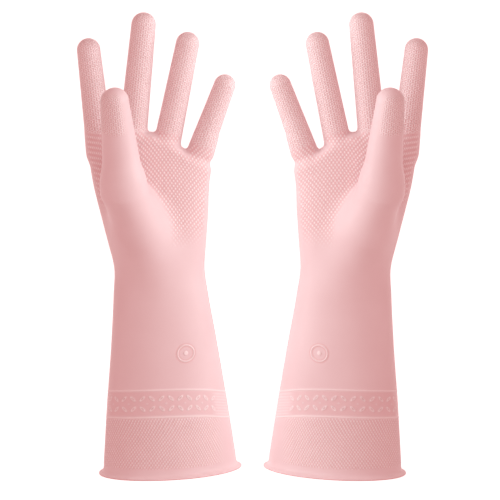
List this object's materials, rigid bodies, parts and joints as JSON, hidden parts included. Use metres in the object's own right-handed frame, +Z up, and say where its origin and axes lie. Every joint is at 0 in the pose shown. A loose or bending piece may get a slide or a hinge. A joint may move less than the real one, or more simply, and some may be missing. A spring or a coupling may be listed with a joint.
{
  "type": "rubber gloves",
  "caption": "Pair of long-cuff household rubber gloves with textured grip, a flared cuff rim and bendable wrists, fingers and thumbs.",
  "frame": {"origin": "on the floor, midway between the two cuff rims, under the middle of the pair's box", "axes": "+Z up along the cuffs, +X from the left-hand glove to the right-hand one, palms towards -Y"},
  "size_m": [0.2802, 0.1121, 0.372],
  "materials": {
    "latex_film": "satin"
  },
  "bodies": {
    "left_cuff": {"left_cuff_rim": "latex_film", "left_gauntlet": "latex_film"},
    "left_hand": {"left_hand": "latex_film"},
    "left_index_base": {"left_index_base": "latex_film"},
    "left_index_tip": {"left_index_tip": "latex_film"},
    "left_middle_base": {"left_middle_base": "latex_film"},
    "left_middle_tip": {"left_middle_tip": "latex_film"},
    "left_ring_base": {"left_ring_base": "latex_film"},
    "left_ring_tip": {"left_ring_tip": "latex_film"},
    "left_little_base": {"left_little_base": "latex_film"},
    "left_little_tip": {"left_little_tip": "latex_film"},
    "left_thumb_base": {"left_thumb_base": "latex_film"},
    "left_thumb_tip": {"left_thumb_tip": "latex_film"},
    "right_cuff": {"right_cuff_rim": "latex_film", "right_gauntlet": "latex_film"},
    "right_hand": {"right_hand": "latex_film"},
    "right_index_base": {"right_index_base": "latex_film"},
    "right_index_tip": {"right_index_tip": "latex_film"},
    "right_middle_base": {"right_middle_base": "latex_film"},
    "right_middle_tip": {"right_middle_tip": "latex_film"},
    "right_ring_base": {"right_ring_base": "latex_film"},
    "right_ring_tip": {"right_ring_tip": "latex_film"},
    "right_little_base": {"right_little_base": "latex_film"},
    "right_little_tip": {"right_little_tip": "latex_film"},
    "right_thumb_base": {"right_thumb_base": "latex_film"},
    "right_thumb_tip": {"right_thumb_tip": "latex_film"}
  },
  "joints": [
    {"name": "pair_gap", "type": "slide", "parent": "left_cuff", "child": "right_cuff", "axis": [1, 0, 0], "range_m": [0, 0.15]},
    {"name": "left_wrist", "type": "hinge", "parent": "left_cuff", "child": "left_hand", "pos_m": [-0.0744, -0.01594, 0.1655], "axis": [1, 0, 0], "range_deg": [0, 45], "stiffness_Nm_per_rad": 1},
    {"name": "left_index_knuckle", "type": "hinge", "parent": "left_hand", "child": "left_index_base", "pos_m": [-0.1239, -0.00064, 0.2798], "axis": [0.994, 0, 0.1097], "range_deg": [0, 28], "stiffness_Nm_per_rad": 0.04},
    {"name": "left_index_mid", "type": "hinge", "parent": "left_index_base", "child": "left_index_tip", "pos_m": [-0.12784, 0.00011, 0.31548], "axis": [0.994, 0, 0.1097], "range_deg": [0, 50], "stiffness_Nm_per_rad": 0.04},
    {"name": "left_middle_knuckle", "type": "hinge", "parent": "left_hand", "child": "left_middle_base", "pos_m": [-0.09488, -0.00114, 0.2814], "axis": [0.9951, 0, -0.0993], "range_deg": [0, 28], "stiffness_Nm_per_rad": 0.04},
    {"name": "left_middle_mid", "type": "hinge", "parent": "left_middle_base", "child": "left_middle_tip", "pos_m": [-0.09037, -0.00035, 0.32667], "axis": [0.9951, 0, -0.0993], "range_deg": [0, 50], "stiffness_Nm_per_rad": 0.04},
    {"name": "left_ring_knuckle", "type": "hinge", "parent": "left_hand", "child": "left_ring_base", "pos_m": [-0.06571, -0.00054, 0.279], "axis": [0.9796, 0, -0.2011], "range_deg": [0, 80], "stiffness_Nm_per_rad": 0.04},
    {"name": "left_ring_mid", "type": "hinge", "parent": "left_ring_base", "child": "left_ring_tip", "pos_m": [-0.05781, 0.00014, 0.3175], "axis": [0.9796, 0, -0.2011], "range_deg": [0, 85], "stiffness_Nm_per_rad": 0.04},
    {"name": "left_little_knuckle", "type": "hinge", "parent": "left_hand", "child": "left_little_base", "pos_m": [-0.03909, 0.00006, 0.26804], "axis": [0.9373, 0, -0.3486], "range_deg": [0, 80], "stiffness_Nm_per_rad": 0.04},
    {"name": "left_little_mid", "type": "hinge", "parent": "left_little_base", "child": "left_little_tip", "pos_m": [-0.02915, 0.00089, 0.29476], "axis": [0.9373, 0, -0.3486], "range_deg": [0, 85], "stiffness_Nm_per_rad": 0.04},
    {"name": "left_thumb_root", "type": "hinge", "parent": "left_hand", "child": "left_thumb_base", "pos_m": [-0.103, -0.01261, 0.2477], "axis": [0.9963, -0.0216, 0.0833], "range_deg": [-15, 0], "stiffness_Nm_per_rad": 0.04},
    {"name": "left_thumb_mid", "type": "hinge", "parent": "left_thumb_base", "child": "left_thumb_tip", "pos_m": [-0.11994, -0.03877, 0.28199], "axis": [0, 0.9679, 0.2513], "range_deg": [-50, 0], "stiffness_Nm_per_rad": 0.04},
    {"name": "right_wrist", "type": "hinge", "parent": "right_cuff", "child": "right_hand", "pos_m": [0.0744, -0.01594, 0.1655], "axis": [1, 0, 0], "range_deg": [0, 45], "stiffness_Nm_per_rad": 1},
    {"name": "right_index_knuckle", "type": "hinge", "parent": "right_hand", "child": "right_index_base", "pos_m": [0.1239, -0.00064, 0.2798], "axis": [0.994, 0, -0.1097], "range_deg": [0, 28], "stiffness_Nm_per_rad": 0.04},
    {"name": "right_index_mid", "type": "hinge", "parent": "right_index_base", "child": "right_index_tip", "pos_m": [0.12784, 0.00011, 0.31548], "axis": [0.994, 0, -0.1097], "range_deg": [0, 50], "stiffness_Nm_per_rad": 0.04},
    {"name": "right_middle_knuckle", "type": "hinge", "parent": "right_hand", "child": "right_middle_base", "pos_m": [0.09488, -0.00114, 0.2814], "axis": [0.9951, 0, 0.0993], "range_deg": [0, 28], "stiffness_Nm_per_rad": 0.04},
    {"name": "right_middle_mid", "type": "hinge", "parent": "right_middle_base", "child": "right_middle_tip", "pos_m": [0.09037, -0.00035, 0.32667], "axis": [0.9951, 0, 0.0993], "range_deg": [0, 50], "stiffness_Nm_per_rad": 0.04},
    {"name": "right_ring_knuckle", "type": "hinge", "parent": "right_hand", "child": "right_ring_base", "pos_m": [0.06571, -0.00054, 0.279], "axis": [0.9796, 0, 0.2011], "range_deg": [0, 80], "stiffness_Nm_per_rad": 0.04},
    {"name": "right_ring_mid", "type": "hinge", "parent": "right_ring_base", "child": "right_ring_tip", "pos_m": [0.05781, 0.00014, 0.3175], "axis": [0.9796, 0, 0.2011], "range_deg": [0, 85], "stiffness_Nm_per_rad": 0.04},
    {"name": "right_little_knuckle", "type": "hinge", "parent": "right_hand", "child": "right_little_base", "pos_m": [0.03909, 0.00006, 0.26804], "axis": [0.9373, 0, 0.3486], "range_deg": [0, 80], "stiffness_Nm_per_rad": 0.04},
    {"name": "right_little_mid", "type": "hinge", "parent": "right_little_base", "child": "right_little_tip", "pos_m": [0.02915, 0.00089, 0.29476], "axis": [0.9373, 0, 0.3486], "range_deg": [0, 85], "stiffness_Nm_per_rad": 0.04},
    {"name": "right_thumb_root", "type": "hinge", "parent": "right_hand", "child": "right_thumb_base", "pos_m": [0.103, -0.01261, 0.2477], "axis": [0.9963, 0.0216, -0.0833], "range_deg": [-15, 0], "stiffness_Nm_per_rad": 0.04},
    {"name": "right_thumb_mid", "type": "hinge", "parent": "right_thumb_base", "child": "right_thumb_tip", "pos_m": [0.11994, -0.03877, 0.28199], "axis": [0, -0.9679, -0.2513], "range_deg": [-50, 0], "stiffness_Nm_per_rad": 0.04}
  ]
}
